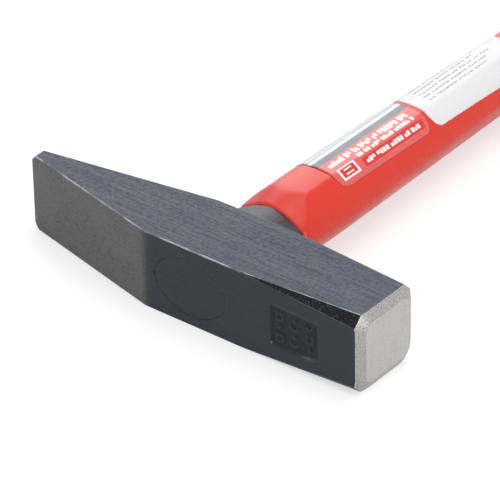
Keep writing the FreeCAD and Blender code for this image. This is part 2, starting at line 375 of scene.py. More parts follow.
@dataclass(frozen=True)
class MouldedPlastic:
    """Glossy moulded plastic with a faint orange peel, soft clouding and fine handling marks."""

    name: str
    colour: Colour
    shade: Colour
    roughness: float = 0.3
    clouding: float = 0.5
    peel_mm: float = 0.01

    def material(self) -> Material:
        """Builds the plastic.

        Returns:
            The material.
        """
        shader = Shader(self.name)
        clouds = shader.noise(3.5, detail=4.0)
        peel = shader.noise(0.8, detail=2.0)
        scuffs = shader.noise(0.3, Grain.UPRIGHT, 3.0)
        rough = shader.span(clouds, self.roughness - 0.04, self.roughness + 0.05)
        clouded = shader.span(clouds, 0.0, self.clouding, 0.35, 0.65)
        shader.finish(
            Base_Color=shader.blend(clouded, self.colour, self.shade),
            Roughness=shader.plus(rough, shader.span(scuffs, 0.0, 0.05, 0.6, 0.75)),
            Specular_IOR_Level=0.36,
            Normal=shader.relief(peel, self.peel_mm, 0.8),
        )
        return shader.material


@dataclass(frozen=True)
class Ink:
    """A printed colour under a glossy or plain film."""

    name: str
    colour: Colour
    roughness: float = 0.28
    fibre_mm: float = 0.01

    def material(self) -> Material:
        """Builds the printed film.

        Returns:
            The material.
        """
        shader = Shader(self.name)
        speckle = shader.noise(0.35, detail=4.0)
        waves = shader.noise(6.0, detail=2.0)
        shader.finish(
            Base_Color=shader.shade(shader.span(speckle, 0.95, 1.0), self.colour),
            Roughness=shader.span(waves, self.roughness - 0.05, self.roughness + 0.07),
            Normal=shader.relief(speckle, self.fibre_mm, 0.5),
        )
        return shader.material


@dataclass(frozen=True)
class SoftRubber:
    """Matte soft moulding with a fine stipple."""

    name: str = "grip_rubber"
    colour: Colour = (0.022, 0.022, 0.025)
    dusty: Colour = (0.045, 0.045, 0.048)

    def material(self) -> Material:
        """Builds the rubber.

        Returns:
            The material.
        """
        shader = Shader(self.name)
        stipple = shader.noise(0.45, detail=3.0)
        clouds = shader.noise(12.0, detail=4.0)
        shader.finish(
            Base_Color=shader.blend(shader.span(clouds, 0.0, 1.0, 0.35, 0.7), self.colour, self.dusty),
            Roughness=shader.span(stipple, 0.62, 0.78),
            Normal=shader.relief(stipple, 0.09, 0.8),
        )
        return shader.material


@dataclass(frozen=True)
class CastResin:
    """Cast or pultruded resin, faintly clouded."""

    name: str
    colour: Colour

    def material(self) -> Material:
        """Builds the resin.

        Returns:
            The material.
        """
        shader = Shader(self.name)
        fibres = shader.noise(0.3, Grain.UPRIGHT, 4.0)
        shader.finish(
            Base_Color=shader.shade(shader.span(fibres, 0.75, 1.0), self.colour),
            Roughness=shader.span(fibres, 0.4, 0.55),
            Normal=shader.relief(fibres, 0.03, 0.5),
        )
        return shader.material


def smooth_max(*values: Array, round_mm: float) -> Array:
    """The largest of several distances, blended where two are nearly equal.

    Args:
        values: the distances.
        round_mm: the width of the blend.

    Returns:
        The blended distance.
    """
    stacked = np.stack(np.broadcast_arrays(*values))
    top = stacked.max(axis=0)
    return top + round_mm * np.log(np.exp((stacked - top) / round_mm).sum(axis=0))


def crossing(outside: Callable[[Array], Array], like: Array) -> Array:
    """Finds how far out a surface is crossed, by halving a reach that lies outside everywhere.

    Args:
        outside: tells at which of the distances it is given the surface is past.
        like: an array of the shape of those distances.

    Returns:
        The distances of the surface.
    """
    low, high = np.zeros_like(like), np.full_like(like, FARTHEST)
    for _ in range(HALVINGS):
        middle = (low + high) / 2
        past = outside(middle)
        low, high = np.where(past, low, middle), np.where(past, middle, high)
    return (low + high) / 2


def noise_line(places: Array, size_mm: float, seed: int) -> Array:
    """Smooth seeded noise along a line.

    Args:
        places: where it is read, in millimetres.
        size_mm: the distance between its bumps.
        seed: the row of bumps to use.

    Returns:
        Numbers from -1 to 1.
    """
    count = 512
    bumps = np.random.default_rng(SEED + seed).uniform(-1, 1, count)
    at = places / size_mm
    low = np.floor(at).astype(int)
    share = at - low
    share = share * share * (3 - 2 * share)
    return bumps[low % count] * (1 - share) + bumps[(low + 1) % count] * share


def place(name: str, data: bpy.types.ID) -> Piece:
    """Puts a mesh, a lamp or a camera in the scene under a name.

    Args:
        name: the object's name.
        data: what it shows.

    Returns:
        The object.
    """
    piece = bpy.data.objects.new(name, data)
    bpy.context.scene.collection.objects.link(piece)
    return piece


def quads(rows: int, columns: int, wrap: bool) -> list[tuple[int, ...]]:
    """The faces of a grid of points.

    Args:
        rows: how many rows of points it has.
        columns: how many points each row has.
        wrap: whether the last column joins the first.

    Returns:
        The corners of each face, row by row.
    """
    faces = []
    for row in range(rows - 1):
        for column in range(columns if wrap else columns - 1):
            after = (column + 1) % columns
            here, there = row * columns, (row + 1) * columns
            faces.append((here + column, there + column, there + after, here + after))
    return faces


def skin(name: str, rings: Array, wrap: bool = True, caps: bool = True) -> Piece:
    """Makes a mesh from rings of points.

    Args:
        name: the object's name.
        rings: points in millimetres, as rings x points x 3.
        wrap: whether each ring is closed.
        caps: whether the first and last rings are filled.

    Returns:
        The object, linked to the scene, with smooth shading.
    """
    count, around = rings.shape[:2]
    faces = quads(count, around, wrap)
    if caps:
        faces.append(tuple(range(around)))
        faces.append(tuple(reversed(range((count - 1) * around, count * around))))
    mesh = bpy.data.meshes.new(name)
    mesh.from_pydata((rings.reshape(-1, 3) * MM).tolist(), [], faces)
    mesh.validate()
    body = bmesh.new()
    body.from_mesh(mesh)
    if wrap:
        bmesh.ops.recalc_face_normals(body, faces=body.faces)
    body.to_mesh(mesh)
    body.free()
    mesh.shade_smooth()
    return place(name, mesh)


def drawn_in(ring: Array, centre: Array, share: float) -> Array:
    """A copy of a ring, drawn in towards a centre.

    Args:
        ring: the ring's points.
        centre: the (x, z) that it is drawn to.
        share: how large the copy is.

    Returns:
        The copy's points.
    """
    copy = ring.copy()
    copy[:, [0, 2]] = centre + (ring[:, [0, 2]] - centre) * share
    return copy


def carry(piece: Piece, slot: str, *nodes: str) -> None:
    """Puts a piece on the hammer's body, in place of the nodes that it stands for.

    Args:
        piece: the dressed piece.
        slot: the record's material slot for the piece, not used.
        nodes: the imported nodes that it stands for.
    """
    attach(piece, BODY)
    if nodes:
        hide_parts(*nodes)
    count = len(piece.data.polygons)
    LOG.info("%s: %d faces, stands for %s", piece.name, count, ", ".join(nodes) or "itself")


def dress(piece: Piece, *materials: Material) -> None:
    """Gives a piece its materials, in place of those that it has, and keeps which face has which.

    Args:
        piece: the piece.
        materials: its materials, in the order in which its faces count them.
    """
    for index, material in enumerate(materials):
        if index < len(piece.data.materials):
            piece.data.materials[index] = material
        else:
            piece.data.materials.append(material)


def cut_out(piece: Piece, cutter: Piece) -> None:
    """Cuts one mesh out of another and throws the cutter away.

    Args:
        piece: the mesh that is cut.
        cutter: the closed mesh that is taken out of it.
    """
    cut = piece.modifiers.new("cut", "BOOLEAN")
    cut.object = cutter
    cut.solver = "EXACT"
    depsgraph = bpy.context.evaluated_depsgraph_get()
    mesh = bpy.data.meshes.new_from_object(piece.evaluated_get(depsgraph))
    piece.modifiers.clear()
    piece.data = mesh
    bpy.data.objects.remove(cutter)


@dataclass
class Section:
    """The handle's outline at one place: bowed crowns, straight slopes and bowed sides."""

    half_thickness: Array
    half_width: Array
    shoulder: tuple[float, float]
    flank: tuple[float, float]

    def distance(self, x: Array, z: Array, round_mm: float) -> Array:
        """How far points lie outside the outline.

        Args:
            x: places across the handle.
            z: places through its thickness.
            round_mm: the rounding of its creases.

        Returns:
            Distances, below zero inside.
        """
        x, z = np.abs(x), np.abs(z)
        shoulder_x, shoulder_z = (self.half_thickness * share for share in self.shoulder)
        flank_x, flank_z = self.half_width * self.flank[0], self.half_thickness * self.flank[1]
        crown = z - self.half_thickness + (self.half_thickness - shoulder_z) * (x / shoulder_x) ** 2
        side = x - self.half_width + (self.half_width - flank_x) * (z / flank_z) ** 2
        along_x, along_z = flank_x - shoulder_x, flank_z - shoulder_z
        length = np.hypot(along_x, along_z)
        slope = (-along_z * (x - shoulder_x) + along_x * (z - shoulder_z)) / length
        return smooth_max(crown, side, slope, round_mm=round_mm)


@dataclass
class Handle:
    """The form of the whole handle behind the head, which the shell, the grip and the labels share."""

    head_half: float = 9.5
    shell_start: float = 18.0
    neck_length: float = 16.0
    neck_half_thickness: float = 6.5
    neck_half_width: float = 9.5
    neck_rise: float = 14.0
    stem_half_thickness: float = 7.85
    stem_half_width: float = 9.75
    waist: float = 105.0
    waist_half_width: float = 8.0
    grip_start: float = 126.0
    grip_length: float = 124.0
    grip_half_thickness: float = 8.4
    grip_half_width: float = 9.9
    palm_half_width: float = 13.2
    heel_half_width: float = 12.4
    heel_relief: float = 0.3
    butt: float = 270.5
    butt_half_width: float = 14.0
    butt_relief: float = 0.1
    stem_facets: tuple = ((0.755, 0.905), (0.86, 0.47))
    neck_facets: tuple = ((0.675, 0.855), (0.87, 0.52))
    crease: float = 0.1
    ramp_crease: float = 0.12
    points_round: int = 240

    @property
    def neck_end(self) -> float:
        """Where the neck's ramps have met the stem."""
        return self.shell_start + self.neck_length

    @property
    def grip_end(self) -> float:
        """Where the grip ends, before the butt."""
        return self.grip_start + self.grip_length

    def sizes(self, along: Array) -> tuple[Array, Array]:
        """Half-thickness and half-width of the handle.

        Args:
            along: places along the handle.

        Returns:
            The two sizes at each place.
        """
        palm, heel = self.grip_start + 0.5 * self.grip_length, self.grip_start + 0.8 * self.grip_length
        keys = [
            (self.shell_start, self.stem_half_thickness, self.stem_half_width),
            (self.neck_end, self.stem_half_thickness, self.stem_half_width),
            (self.waist, self.stem_half_thickness, self.waist_half_width),
            (self.grip_start, self.grip_half_thickness, self.grip_half_width),
            (palm, self.head_half, self.palm_half_width),
            (heel, self.head_half - self.heel_relief, self.heel_half_width),
            (self.grip_end, self.head_half - self.butt_relief, self.butt_half_width),
            (self.butt, self.head_half - self.butt_relief, self.butt_half_width),
        ]
        thickness = np.full_like(along, self.stem_half_thickness)
        width = np.full_like(along, self.stem_half_width)
        for before, after in zip(keys, keys[1:]):
            share = np.clip((along - before[0]) / (after[0] - before[0]), 0, 1)
            eased = share if after[0] <= self.waist else (1 - np.cos(np.pi * share)) / 2
            inside = along >= before[0]
            thickness = np.where(inside, before[1] + eased * (after[1] - before[1]), thickness)
            width = np.where(inside, before[2] + eased * (after[2] - before[2]), width)
        return thickness, width

    def distance(self, along: Array, x: Array, z: Array) -> Array:
        """How far points lie outside the handle, with its neck drawn in.

        Args:
            along: places along the handle.
            x: places across it.
            z: places through it, from the middle.

        Returns:
            Distances, below zero inside.
        """
        thickness, width = self.sizes(along)
        stem = Section(thickness, width, *self.stem_facets).distance(x, z, self.crease)
        rise = math.tan(math.radians(self.neck_rise))
        grown = np.clip(along - self.shell_start, 0, self.neck_length) * rise
        neck_z, neck_x = self.neck_half_thickness + grown, self.neck_half_width + grown
        neck = Section(neck_z, neck_x, *self.neck_facets).distance(x, z, self.crease)
        neck = np.where(along > self.neck_end, -FARTHEST, neck)
        return smooth_max(stem, neck, round_mm=self.ramp_crease)

    def reach(self, distance: Callable, along: Array, angle: Array) -> Array:
        """Finds how far out the surface lies from the middle line.

        Args:
            distance: a function of place along, across and through that is zero on the surface.
            along: places along the handle.
            angle: directions from +Z towards +X.

        Returns:
            The radius at each place and direction.
        """
        x, z = np.sin(angle), np.cos(angle)
        return crossing(lambda radius: distance(along, radius * x, radius * z) > 0, angle)

    def rings(self, along: Sequence[float], angles: Array, distance: Callable, grow: object = 0.0) -> Array:
        """Rings of surface points.

        Args:
            along: the place of each ring.
            angles: the directions of its points.
            distance: a function that is zero on the surface.
            grow: how far each point is moved out, one number or rings x points.

        Returns:
            Points as rings x points x 3, at the height that the hammer lies at.
        """
        places, directions = np.meshgrid(np.array(along, float), angles, indexing="ij")
        radius = self.reach(distance, places, directions) + grow
        x, z = radius * np.sin(directions), radius * np.cos(directions) + self.head_half
        return np.stack([x, places, z], axis=-1)


def angles_round(handle: Handle) -> Array:
    """Directions round the handle, closer together at its shoulders and flanks.

    Args:
        handle: the handle's form.

    Returns:
        Angles from +Z towards +X, in order.
    """
    thickness, width = handle.stem_half_thickness, handle.stem_half_width
    (shoulder_x, shoulder_z), (flank_x, flank_z) = handle.stem_facets
    creases = [
        math.atan2(thickness * shoulder_x, thickness * shoulder_z),
        math.atan2(width * flank_x, thickness * flank_z),
    ]
    creases += [math.pi - angle for angle in creases]
    creases += [2 * math.pi - angle for angle in creases]
    fine = np.linspace(0, 2 * math.pi, 7201)[:-1]
    weight = np.ones_like(fine)
    closer, spread = 3.0, 0.1
    for crease in creases:
        weight += closer * np.exp(-(((fine - crease) / spread) ** 2))
    total = np.cumsum(weight)
    wanted = (np.arange(handle.points_round) + 0.5) / handle.points_round * total[-1]
    return np.interp(wanted, total, fine)


@dataclass
class ForgedHead:
    """The square forged head: wedge peen, trimmed corners, ground face, sunk stamp field and oval eye."""

    width: float = 19.0
    face_x: float = 44.7
    length: float = 96.8
    peen_top_start: float = 12.6
    peen_under_start: float = 7.3
    tip_thickness: float = 2.34
    tip_offset: float = 0.92
    nose_radius: float = 0.9
    nose_corner: float = 1.8
    trim_start: float = 12.7
    trim: float = 2.35
    edge: float = 0.16
    edge_round: float = 0.1
    peen_crease: float = 0.28
    flat_half: float = 7.3
    flat_corner: float = 2.2
    bevel_angle: float = 29.0
    stamp_from_face: float = 17.1
    stamp_size: tuple[float, float] = (12.2, 9.4)
    stamp_raise: float = -0.4
    stamp_depth: float = 0.4
    stamp_wall: float = 0.3
    stamp_pitch: float = 3.9
    stamp_column: float = 8.0
    stamp_marks: tuple[tuple[StampMark, ...], ...] = (
        (StampMark.SQUARE, StampMark.DIAMOND, StampMark.SQUARE),
        (StampMark.DIAMOND, StampMark.CHEVRON, StampMark.DIAMOND, StampMark.CHEVRON),
        (StampMark.CHEVRON, StampMark.SQUARE, StampMark.DIAMOND),
    )
    stamp_grid: tuple[int, int] = (98, 76)
    mark_height: float = 0.7
    mark_wall: float = 0.22
    # how dark the stamp field's floor is painted, as painted shade
    stamp_floor_shade: float = 0.55
    worn_edges: float = 0.3
    stamp_wall_highlight: float = 0.8
    eye_size: tuple[float, float] = (9.64, 7.04)
    eye_end_radius: float = 5.0
    eye_growth: tuple[tuple[float, float], ...] = (
        (-14.0, 0.52), (-9.5, 0.0), (0.0, -1.1), (9.5, -0.4), (14.0, -0.07)
    )
    eye_points: int = 128
    edge_points: int = 5

    @property
    def half(self) -> float:
        """Half of the head's width."""
        return self.width / 2

    @property
    def peen_x(self) -> float:
        """Where the tip of the peen stands."""
        return self.face_x - self.length

    def profile(self, x: Array) -> tuple[Array, Array]:
        """The top side and the handle side as seen from above.

        Args:
            x: places along the head.

        Returns:
            The y of each side.
        """
        sides = []
        for sign, start in ((-1, self.peen_top_start), (1, self.peen_under_start)):
            tip = self.tip_offset + sign * self.tip_thickness / 2
            slope = (self.half - sign * tip) / (-start - self.peen_x)
            drop = slope * self.peen_crease * np.logaddexp(0, (-start - x) / self.peen_crease)
            depth = np.clip(self.nose_radius - (x - self.peen_x), 0, self.nose_radius)
            drop = drop + self.nose_radius - np.sqrt(self.nose_radius**2 - depth**2)
            sides.append(sign * (self.half - drop))
        return sides[0], sides[1]

    def corners(self, x: Array) -> Array:
        """The eight corners of the section, the trimmed corners of each side in order round it.

        Args:
            x: places along the head, one for each outline point.

        Returns:
            Points x 8 x (y, z).
        """
        top, under = self.profile(x)
        cheek = self.half - np.clip(self.nose_corner - (x - self.peen_x), 0, None)
        trim = self.trim * np.clip((x - self.trim_start) / (self.face_x - self.trim_start), 0, None)
        worn = self.edge * (1 + 0.25 * noise_line(x, 2.6, 1) + 0.15 * noise_line(x, 0.9, 2))
        cut = np.hypot(trim, np.clip(worn, 0.04, None))
        other = np.hypot(trim, self.edge)
        return np.stack([
            np.stack([top, -cheek + other], -1), np.stack([top, cheek - cut], -1),
            np.stack([top + cut, cheek], -1), np.stack([under - other, cheek], -1),
            np.stack([under, cheek - other], -1), np.stack([under, -cheek + other], -1),
            np.stack([under - other, -cheek], -1), np.stack([top + other, -cheek], -1),
        ], axis=1)

    def stations(self) -> list[tuple[int, float]]:
        """Each outline point's side, or 8 more than its side on the rounded corner after it, and its share.

        Sides 0, 2, 4 and 6 are the top side, the upper cheek, the handle side and the lower cheek. The odd
        sides are the trimmed corners between them.

        Returns:
            The side and the share of each point, in order round the section.
        """
        reach = self.stamp_size[1] / 2 + self.stamp_wall
        low = (self.stamp_raise - reach + self.half) / self.width
        high = (self.stamp_raise + reach + self.half) / self.width
        field_shares = np.linspace(low, high, self.stamp_grid[1])
        top_side = np.concatenate([np.linspace(0, low, 7)[:-1], field_shares, np.linspace(high, 1, 8)[1:]])
        shares = {0: top_side, 2: np.linspace(0, 1, 22), 4: np.linspace(0, 1, 16), 6: np.linspace(0, 1, 16)}
        points = []
        for side in range(8):
            along = shares.get(side, np.linspace(0, 1, 12))
            points += [(side, float(share)) for share in along]
            steps = self.edge_points + 1
            points += [(side + 8, step / steps) for step in range(1, steps)]
        return points

    def outline(self, x: Array) -> Array:
        """The section's outline with its edges rounded.

        Args:
            x: the place along the head of each outline point.

        Returns:
            Points x (y, z).
        """
        corners = self.corners(x)
        places = np.empty((len(x), 2))
        for index, (part, share) in enumerate(self.stations()):
            here = corners[index]
            side = part % 8
            start, end, beyond = here[side], here[(side + 1) % 8], here[(side + 2) % 8]
            span, after = end - start, beyond - end
            length, after_length = np.hypot(*span), np.hypot(*after)
            back = min(self.edge_round, 0.45 * length, 0.45 * after_length)
            if part < 8:
                ahead = min(self.edge_round, 0.45 * length)
                places[index] = start + span / length * (ahead + share * (length - 2 * ahead))
            else:
                first, last = end - span / length * back, end + after / after_length * back
                places[index] = (1 - share) ** 2 * first + 2 * share * (1 - share) * end + share**2 * last
        return places

    def flat_edge(self, places: Array) -> tuple[Array, Array]:
        """The nearest places on the edge of the ground flat.

        Args:
            places: points across the head, as (y, z).

        Returns:
            How far each point lies outside the flat, and the nearest place on its edge.
        """
        inner = self.flat_half - self.flat_corner
        beyond = np.abs(places) - inner
        outward = np.clip(beyond, 0, None)
        length = np.hypot(outward[:, 0], outward[:, 1])
        distance = length + np.minimum(beyond.max(axis=1), 0) - self.flat_corner
        normal = outward / np.maximum(length, 1e-9)[:, None] * np.sign(places)
        return distance, places - normal * distance[:, None]

    def rows(self) -> Array:
        """Places of the rings between the peen and the ground face, closer together over the stamp field.

        Returns:
            Places along the head, in order.
        """
        nose = self.peen_x + np.array([0, 0.03, 0.1, 0.22, 0.4, 0.6, 0.9, 1.2, 1.6, 1.8, 2.0])
        field_x = self.face_x - self.stamp_from_face
        half = self.stamp_size[0] / 2 + self.stamp_wall
        pitch, clear_of_bevel = 0.5, 2.4
        before = np.arange(nose[-1] + pitch, field_x - half, pitch)
        field_rows = np.linspace(field_x - half, field_x + half, self.stamp_grid[0])
        after = np.linspace(field_x + half, self.face_x - clear_of_bevel, 16)[1:]
        return np.concatenate([nose, before, field_rows, after])

    def stamp(self, x: Array, z: Array) -> Array:
        """Depth of the sunk field with its raised marks, three columns of plain shapes.

        Args:
            x: places along the head.
            z: places from the head's axis.

        Returns:
            How deep each place lies.
        """
        u = x - (self.face_x - self.stamp_from_face)
        v = z - self.stamp_raise
        inside = np.minimum(self.stamp_size[0] / 2 - np.abs(u), self.stamp_size[1] / 2 - np.abs(v))
        depth = self.stamp_depth * np.clip(inside / self.stamp_wall + 0.5, 0, 1)
        marks = np.full_like(u, -FARTHEST)
        for column, names in enumerate(self.stamp_marks):
            across = u - (column - 1) * self.stamp_pitch
            for row, mark in enumerate(names):
                up = v + ((row + 0.5) / len(names) - 0.5) * self.stamp_column
                marks = np.maximum(marks, mark.inside(across, up))
        raised = np.clip(marks / self.mark_wall + 0.5, 0, 1)
        return depth * (1 - self.mark_height * raised)

    def bevel_edge(self) -> Array:
        """Where the ground bevel cuts each line of the body, closed in on in steps.

        Returns:
            A place along the head for each outline point.
        """
        first_guess, rounds, least = 1.2, 12, 0.02
        cut = np.full(len(self.stations()), self.face_x - first_guess)
        tangent = math.tan(math.radians(self.bevel_angle))
        for _ in range(rounds):
            outside, _ = self.flat_edge(self.outline(cut))
            cut = self.face_x - tangent * np.clip(outside, least, None)
        return cut

    def ground_rings(self, cut: Array) -> tuple[list[Array], list[Array]]:
        """Rings of the ground end.

        Args:
            cut: where the bevel cuts each line of the body.

        Returns:
            The bevel's rings, and those of the flat inside it.
        """
        rim = self.outline(cut)
        _, flat = self.flat_edge(rim)
        bevel = []
        for share in (0.0, 0.06, 0.14, 0.32, 0.5, 0.68, 0.86, 0.94, 1.0):
            soft = 0.05 * math.exp(-((share / 0.05) ** 2)) + 0.04 * math.exp(-(((1 - share) / 0.05) ** 2))
            line = cut + share * (self.face_x - cut) - soft
            bevel.append(np.column_stack([line, rim + share * (flat - rim)]))
        face = np.full(len(cut), self.face_x)
        shares = (0.985, 0.95, 0.85, 0.65, 0.4, 0.15)
        return bevel, [np.column_stack([face, flat * share]) for share in shares]

    def marks(self, rings: Array, body: int, sunk: Array) -> dict[str, Array]:
        """What the varnish reads from the mesh at each point, from 0 to 1.

        Args:
            rings: every ring's points, about the head's axis.
            body: how many rings the varnished body has.
            sunk: how deep the stamp field lies at the top side's points.

        Returns:
            Rings x points for each mark, by name.
        """
        x = rings[:, :, 0]
        part = np.array([side for side, _ in self.stations()])
        top, flats = part == 0, np.isin(part, (0, 4))
        rough, fade, blur, reach, steep = self.trim_start + 1, 4, 0.5, 0.4, 2.2
        narrow = np.isin(part, (8, 1, 9)) * (x < rough)
        # worn edges all round, fully worn by the peen's trimmed corner and along the edge above the upper
        # trimmed corner, where the bright line is also a painted highlight
        wear_and_highlight = np.maximum(self.worn_edges * (part >= 8), np.maximum(narrow, part == 9))
        scale_and_shade = np.isin(part, (1, 3, 5, 7)) * np.clip((x - rough) / fade, 0, 1)
        wear_and_highlight[body:], scale_and_shade[body:] = 0, 0
        deep = sunk / self.stamp_depth
        # the sunk stamp field's floor is darkened with its depth: painted shade in the recess
        scale_and_shade[:body, top] = self.stamp_floor_shade * np.clip(deep, 0, 1)
        # the stamp field's lower wall, which faces the light, gets a bright band of bare steel: painted
        # highlight
        wall = np.clip(1 - np.abs(deep - 0.5) * steep, 0, 1)
        low = rings[:body, top, 2] < self.stamp_raise - self.stamp_size[1] / 2 + reach
        wear_and_highlight[:body, top] = np.maximum(wear_and_highlight[:body, top], self.stamp_wall_highlight * wall * low)
        thin = flats * (x < 0) / (1 + np.exp((x + self.peen_top_start) / blur))
        # marks the cheeks, whose reflection is painted bluer
        cheek = np.tile(~flats * 1.0, (len(rings), 1))
        return {"wear_and_highlight": wear_and_highlight, "scale_and_shade": scale_and_shade, "thin": thin, "cheek": cheek}

    def build(self) -> Piece:
        """Builds the head's mesh with its stamp field and the marks that its finish reads.

        Returns:
            The head, still without its eye.
        """
        rows, cut = self.rows(), self.bevel_edge()
        lines = [np.full(len(cut), x) for x in rows]
        lines += [rows[-1] + share * (cut - rows[-1]) for share in (0.3, 0.6, 0.85, 0.95)]
        bevel, flat = self.ground_rings(cut)
        body = len(lines)
        rings = np.array([np.column_stack([line, self.outline(line)]) for line in lines] + bevel + flat)
        top = np.array([side == 0 for side, _ in self.stations()])
        sunk = self.stamp(rings[:body, top, 0], rings[:body, top, 2])
        rings[:body, top, 1] += sunk
        marks = self.marks(rings, body, sunk)
        rings[:, :, 2] += self.half
        piece = skin("head_forging", rings)
        for name, values in marks.items():
            mark = piece.data.attributes.new(name, "FLOAT", "POINT")
            mark.data.foreach_set("value", values.ravel().astype(np.float32))
        # the two end caps come after the last ring, so both get the ground face's steel
        for face in piece.data.polygons:
            ring = face.index // len(cut)
            face.material_index = int(ring >= body - 1) + int(ring >= body + len(bevel) - 1)
        return piece

    def eye_cutter(self) -> Piece:
        """A tapering oval block that cuts the eye's two mouths through the head.

        Returns:
            The cutter.
        """
        length, width = self.eye_size
        end = self.eye_end_radius
        side = (length**2 + width**2 - 2 * length * end) / (2 * (width - end))
        turn = np.linspace(0, 2 * math.pi, self.eye_points + 1)[:-1]
        x, z = np.sin(turn), np.cos(turn)
        limit = math.atan2(length - end, side - width)
        off = np.abs(np.abs((turn + math.pi / 2) % math.pi - math.pi / 2))
        on_side = off < limit
        out_x = np.where(on_side, side * x, np.sign(x) * (length - end) + end * x)
        out_z = np.where(on_side, side * z - np.sign(z) * (side - width), end * z)
        rings = []
        for y, grown in self.eye_growth:
            level = np.full(self.eye_points, y)
            rings.append(np.column_stack([out_x + x * grown, level, out_z + z * grown + self.half]))
        return skin("eye_cutter", np.array(rings))

    def dress(self, nodes: dict[str, Piece]) -> None:
        """Builds the head, and finishes it and the painted-over filler of its eye.

        Args:
            nodes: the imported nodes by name.
        """
        piece = self.build()
        varnish = VarnishedSteel().material()
        # the bevel's steel is coloured darker than the face's: painted shade on the bevel
        bevel = GroundSteel("bevel_steel", Grain.LENGTHWISE, (0.41, 0.4, 0.38), 0.3, 0.45)
        flat = GroundSteel("face_steel", Grain.ACROSS)
        dress(piece, varnish, bevel.material(), flat.material())
        cut_out(piece, self.eye_cutter())
        weighted = piece.modifiers.new("flats", "WEIGHTED_NORMAL")
        weighted.keep_sharp = True
        carry(piece, "head_steel", "head")
        dress(nodes["eye_plug"], varnish)


@dataclass
class Shell:
    """The red shell: ramped neck, faceted stem, bed of the grip and the butt with its hang hole."""

    handle: Handle
    grip_wall: float = 2.2
    butt_round: float = 4.0
    hole_radius: float = 3.5
    hole_from_butt: float = 10.5
    hole_flare: tuple[tuple[float, float], ...] = (
        (-4, 5.0), (0.0, 0.75), (0.3, 0.35), (0.9, 0.05), (1.4, 0.0)
    )
    hole_points: int = 64
    parting_height: float = 0.12
    parting_turn: float = 0.022
    lip_dip: float = 0.22
    lip_run: float = 0.25

    def grow(self, along: Array, angles: Array) -> Array:
        """How far the surface moves out from the handle's form: its lip, parting line and bed.

        Args:
            along: the place of each ring.
            angles: the directions of its points.

        Returns:
            Rings x points.
        """
        lip = -self.lip_dip * np.exp(-((along - self.handle.shell_start) / self.lip_run) ** 2)
        sleeved = (along > self.handle.grip_start) & (along < self.handle.grip_end)
        bed = np.where(sleeved, -self.grip_wall, 0.0)
        seam = np.minimum(np.abs(angles - math.pi / 2), np.abs(angles - 3 * math.pi / 2))
        line = self.parting_height * np.exp(-((seam / self.parting_turn) ** 2))
        return (lip + bed)[:, None] + line[None, :]

    def places(self) -> Array:
        """Places of the rings along the shell, closest together over its neck.

        Returns:
            The places in order.
        """
        handle, step = self.handle, 0.01
        return np.concatenate([
            handle.shell_start + np.array([0, 0.08, 0.2, 0.4, 0.7]),
            np.arange(handle.shell_start + 1.0, handle.neck_end + 2, 0.35),
            np.arange(handle.neck_end + 3, handle.grip_start - 1, 2.0),
            [handle.grip_start, handle.grip_start + step],
            np.arange(handle.grip_start + 6, handle.grip_end - 3, 6.0),
            [handle.grip_end - step, handle.grip_end],
            np.arange(handle.grip_end + 1.5, handle.butt - self.butt_round, 1.5),
        ])

    def butt_rings(self, last: Array) -> list[Array]:
        """Rings that round the butt and close it.

        Args:
            last: the ring before the butt.

        Returns:
            The rings.
        """
        middle = last[:, [0, 2]].mean(axis=0)
        out = last[:, [0, 2]] - middle
        out /= np.hypot(out[:, 0], out[:, 1])[:, None]
        rings = []
        for turn in np.radians(np.linspace(0, 90, 9)[1:]):
            ring = last.copy()
            ring[:, [0, 2]] -= out * self.butt_round * (1 - math.cos(turn))
            ring[:, 1] = self.handle.butt - self.butt_round * (1 - math.sin(turn))
            rings.append(ring)
        return rings + [drawn_in(rings[-1], middle, share) for share in (0.9, 0.6, 0.3)]

    def build(self) -> Piece:
        """Builds the shell's mesh and cuts its hang hole.

        Returns:
            The shell.
        """
        handle = self.handle
        along, angles = self.places(), angles_round(handle)
        rings = handle.rings(along, angles, handle.distance, self.grow(along, angles))
        centre = np.array([0.0, handle.head_half])
        front = [drawn_in(rings[0], centre, share) for share in (0.5, 0.8, 0.96)]
        piece = skin("shell_moulding", np.concatenate([front, rings, self.butt_rings(rings[-1])]))
        cut_out(piece, self.hole_cutter())
        return piece

    def hole_cutter(self) -> Piece:
        """A round block with flared ends that cuts the hang hole and softens its mouths.

        Returns:
            The cutter.
        """
        turn = np.linspace(0, 2 * math.pi, self.hole_points + 1)[:-1]
        height = self.handle.head_half - self.handle.butt_relief
        y = self.handle.butt - self.hole_from_butt
        rings = []
        for level, flare in self.hole_flare:
            radius = self.hole_radius + flare
            z = np.full(self.hole_points, -height + level)
            rings.append(np.column_stack([radius * np.cos(turn), y + radius * np.sin(turn), z]))
        mirrored = [ring * [1, 1, -1] for ring in reversed(rings)]
        rings = np.array(rings + mirrored)
        rings[:, :, 2] += self.handle.head_half
        return skin("hole_cutter", rings)

    def dress(self) -> None:
        """Builds the shell and gives it its red plastic."""
        piece = self.build()
        red = MouldedPlastic("shell_red", (0.74, 0.036, 0.018), (0.7, 0.04, 0.02), 0.3, 0.6)
        dress(piece, red.material())
        carry(piece, "shell_plastic", "shell")


